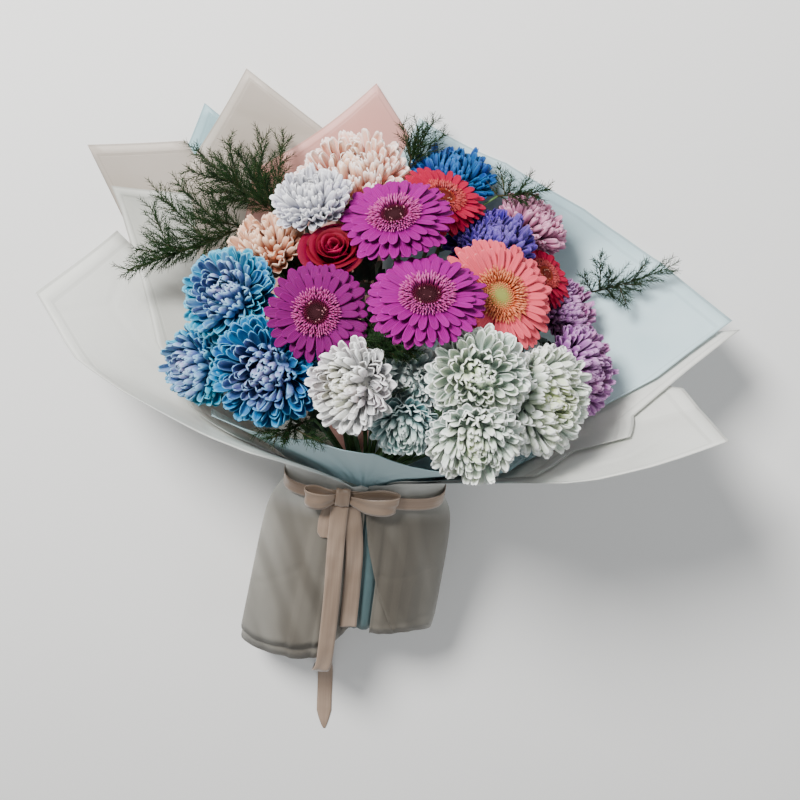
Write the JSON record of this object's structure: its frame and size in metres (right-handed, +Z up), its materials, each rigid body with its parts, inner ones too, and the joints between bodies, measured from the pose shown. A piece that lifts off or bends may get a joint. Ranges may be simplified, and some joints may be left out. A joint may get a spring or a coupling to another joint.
{
  "type": "mixed flower bouquet",
  "caption": "Hand bouquet of daisies, chrysanthemums and a rose with fern sprays, wrapped in folded paper sheets and tied with a ribbon bow, laid on its back.",
  "frame": {"origin": "middle of the bouquet's footprint, on the surface it lies on", "axes": "+Y from the handle and the ribbon's tail towards the flowers, +Z up, +X to the right of the bunch as it is looked at from its front"},
  "size_m": [0.723, 0.8294, 0.3287],
  "materials": {
    "petals_magenta": "matte",
    "petals_coral": "matte",
    "petals_red": "matte",
    "petals_crimson": "matte",
    "petals_peach": "matte",
    "petals_grey": "matte",
    "petals_blue": "matte",
    "petals_deep_blue": "matte",
    "petals_violet": "matte",
    "petals_lilac": "matte",
    "petals_mint": "matte",
    "petals_cream": "matte",
    "heart_dark": "matte",
    "heart_brown": "matte",
    "heart_green": "matte",
    "paper_mint": "matte",
    "paper_blush": "matte",
    "paper_white": "matte",
    "foliage": "matte",
    "stems": "matte",
    "raffia": "matte",
    "ribbon": "satin"
  },
  "bodies": {
    "root": {"chrysanthemum_blue_left": "petals_blue", "chrysanthemum_blue_lower": "petals_blue", "chrysanthemum_blue_top": "petals_deep_blue", "chrysanthemum_blue_upper": "petals_blue", "chrysanthemum_cream_low": "petals_cream", "chrysanthemum_cream_middle": "petals_cream", "chrysanthemum_cream_right": "petals_cream", "chrysanthemum_grey_upper": "petals_grey", "chrysanthemum_lilac_low": "petals_lilac", "chrysanthemum_lilac_upper": "petals_lilac", "chrysanthemum_mint_low": "petals_mint", "chrysanthemum_peach_left": "petals_peach", "chrysanthemum_peach_top": "petals_peach", "chrysanthemum_pink_right": "petals_lilac", "chrysanthemum_violet": "petals_violet", "chrysanthemum_white_left": "petals_grey", "chrysanthemum_white_middle": "petals_mint", "fern_left_high": "foliage", "fern_left_low": "foliage", "fern_low": "foliage", "fern_middle": "foliage", "fern_right": "foliage", "fern_right_high": "foliage", "fern_top_right": "foliage", "gerbera_magenta_left": "petals_magenta", "gerbera_magenta_left_heart": "heart_dark", "gerbera_magenta_middle": "petals_magenta", "gerbera_magenta_middle_heart": "heart_dark", "gerbera_magenta_top": "petals_magenta", "gerbera_magenta_top_heart": "heart_dark", "gerbera_red_right": "petals_coral", "gerbera_red_right_heart": "heart_brown", "gerbera_red_top": "petals_red", "gerbera_red_top_heart": "heart_brown", "gerbera_salmon": "petals_coral", "gerbera_salmon_heart": "heart_green", "ribbon_band": "ribbon", "ribbon_knot": "ribbon", "ribbon_loop_left": "ribbon", "ribbon_loop_right": "ribbon", "ribbon_tail_long": "ribbon", "ribbon_tail_middle": "ribbon", "ribbon_tail_short": "ribbon", "rose_red": "petals_crimson", "sheet_mint_front": "paper_mint", "sheet_mint_right": "paper_mint", "sheet_mint_tip": "paper_mint", "sheet_pink_back": "paper_blush", "sheet_white_back": "paper_white", "sheet_white_left_front": "paper_white", "sheet_white_left_inner": "paper_white", "sheet_white_left_outer": "paper_white", "sheet_white_low_right": "paper_white", "sheet_white_right": "paper_white", "stem_tie": "raffia", "stems": "stems"}
  },
  "joints": []
}
